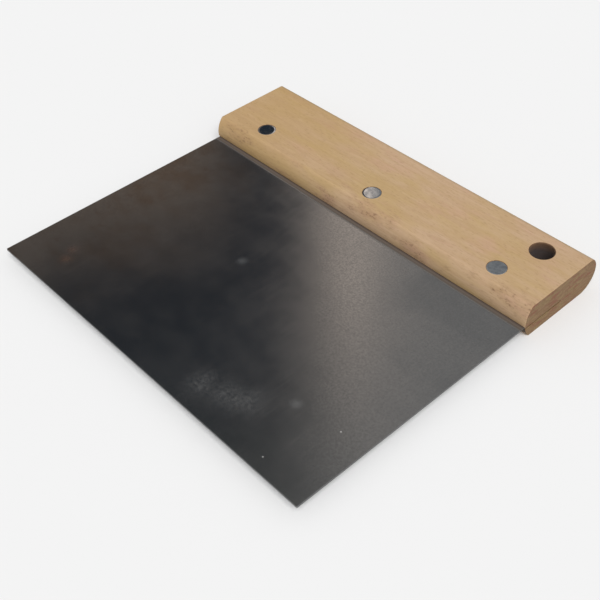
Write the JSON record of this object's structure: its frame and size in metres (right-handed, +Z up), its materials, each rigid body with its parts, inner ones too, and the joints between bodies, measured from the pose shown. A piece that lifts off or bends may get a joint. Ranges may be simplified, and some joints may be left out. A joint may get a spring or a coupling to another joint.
{
  "type": "drywall taping knife",
  "caption": "Wide flat spring steel blade riveted into the kerf of a straight beech handle with a hang hole, for spreading and smoothing filler and joint compound.",
  "frame": {"origin": "bottom centre of the whole tool's box, on the plane of the handle's flat underside", "axes": "+X along the working edge towards the hang hole's end, -Y towards the working edge, +Y towards the handle's back, +Z up out of the handle's top face"},
  "size_m": [0.1812, 0.159, 0.0152],
  "materials": {
    "spring_steel": "cold rolled and lightly polished, with smudges and fine scratches",
    "beech": "planed, sanded and unvarnished, slightly soiled",
    "rivet_aluminium": "pressed flush and smooth"
  },
  "bodies": {
    "root": {"blade": "spring_steel", "handle": "beech", "rivet_post_left": "rivet_aluminium", "rivet_sleeve_left": "rivet_aluminium", "rivet_post_middle": "rivet_aluminium", "rivet_sleeve_middle": "rivet_aluminium", "rivet_post_right": "rivet_aluminium", "rivet_sleeve_right": "rivet_aluminium"}
  },
  "joints": []
}
